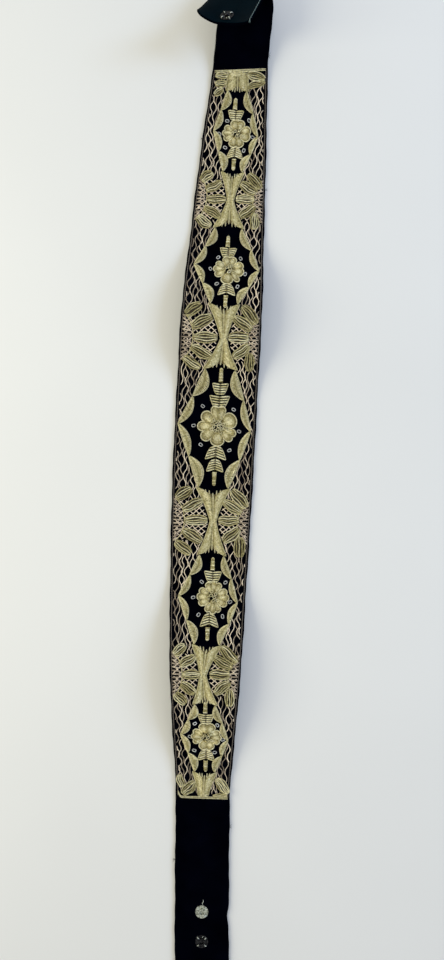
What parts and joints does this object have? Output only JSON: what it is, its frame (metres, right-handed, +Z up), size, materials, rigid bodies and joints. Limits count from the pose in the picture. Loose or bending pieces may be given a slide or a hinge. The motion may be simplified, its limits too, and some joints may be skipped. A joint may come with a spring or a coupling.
{
  "type": "embroidered strap",
  "caption": "Long narrow velvet strap with gold metal-thread embroidery on a lined face; its plain ends close on each other with sew-on press studs.",
  "frame": {"origin": "on the flat underside of the strap, on its centreline at the widest place, under the middle medallion, where it rests on the surface", "axes": "+Z up, out of the embroidered face; +Y along the strap towards the end that is folded over; +X across it, to the right when the folded end is at the top"},
  "size_m": [0.0715, 0.8443, 0.0574],
  "materials": {
    "velvet": "black cotton velvet, matt with a soft sheen at grazing angles",
    "lining_cloth": "very dark green-black satin weave, slightly shiny",
    "buckram": "stiff sized cotton, hidden between face and lining",
    "gold_purl": "antique gold metal purl wire, coiled and couched",
    "net_thread": "twisted metallised thread, pinkish beige gold",
    "silver_purl": "bright silver purl chips",
    "stud_metal": "nickel plated, slightly dulled",
    "spring_steel": "phosphor wire",
    "sewing_thread": "dark grey sewing thread"
  },
  "bodies": {
    "band": {"calyxes": "gold_purl", "edge_cord_left": "gold_purl", "edge_cord_right": "gold_purl", "end_band_bottom": "gold_purl", "end_band_top": "gold_purl", "flower_centres": "gold_purl", "interlining_band": "buckram", "lining_band": "lining_cloth", "medallion_1_flower": "gold_purl", "medallion_1_leaves": "gold_purl", "medallion_1_net": "net_thread", "medallion_1_rings": "silver_purl", "medallion_1_stems": "gold_purl", "medallion_2_flower": "gold_purl", "medallion_2_leaves": "gold_purl", "medallion_2_net": "net_thread", "medallion_2_rings": "silver_purl", "medallion_2_stems": "gold_purl", "medallion_3_flower": "gold_purl", "medallion_3_leaves": "gold_purl", "medallion_3_net": "net_thread", "medallion_3_rings": "silver_purl", "medallion_3_stems": "gold_purl", "medallion_4_flower": "gold_purl", "medallion_4_leaves": "gold_purl", "medallion_4_net": "net_thread", "medallion_4_rings": "silver_purl", "medallion_4_stems": "gold_purl", "medallion_5_flower": "gold_purl", "medallion_5_leaves": "gold_purl", "medallion_5_net": "net_thread", "medallion_5_rings": "silver_purl", "medallion_5_stems": "gold_purl", "socket_near": "stud_metal", "socket_spring_near": "spring_steel", "stud_threads_near": "sewing_thread", "velvet_band": "velvet", "waist_1_fans": "gold_purl", "waist_2_fans": "gold_purl", "waist_3_fans": "gold_purl", "waist_4_fans": "gold_purl"},
    "tail": {"interlining_tail": "buckram", "lining_tail": "lining_cloth", "socket_end": "stud_metal", "socket_spring_end": "spring_steel", "stud_threads_end": "sewing_thread", "velvet_tail": "velvet"},
    "roll_near": {"interlining_roll_near": "buckram", "lining_roll_near": "lining_cloth", "velvet_roll_near": "velvet"},
    "roll_top": {"interlining_roll_top": "buckram", "lining_roll_top": "lining_cloth", "velvet_roll_top": "velvet"},
    "flap": {"flap_ball": "stud_metal", "interlining_flap": "buckram", "lining_flap": "lining_cloth", "stud_threads_flap": "sewing_thread", "velvet_flap": "velvet"}
  },
  "joints": [
    {"name": "roll_fold_near", "type": "hinge", "parent": "band", "child": "roll_near", "pos_m": [0.00775, 0.363, 0.012], "axis": [0.9514, -0.3081, 0], "range_deg": [-52, 0]},
    {"name": "roll_fold_top", "type": "hinge", "parent": "roll_near", "child": "roll_top", "pos_m": [0.00704, 0.36947, 0.01959], "axis": [0.9693, -0.2127, 0.1233], "range_deg": [-52, 0]},
    {"name": "flap_fold", "type": "hinge", "parent": "roll_top", "child": "flap", "pos_m": [0.00427, 0.36767, 0.02904], "axis": [0.9, -0.2559, 0.3529], "range_deg": [-52, 0]},
    {"name": "tail_fold", "type": "hinge", "parent": "band", "child": "tail", "pos_m": [0.01057, -0.424, 0.0026], "axis": [-1, 0, 0], "range_deg": [0, 150]}
  ],
  "couplings": [
    {"joint": "roll_fold_top", "follows": "roll_fold_near", "ratio": 1},
    {"joint": "flap_fold", "follows": "roll_fold_near", "ratio": 1}
  ]
}
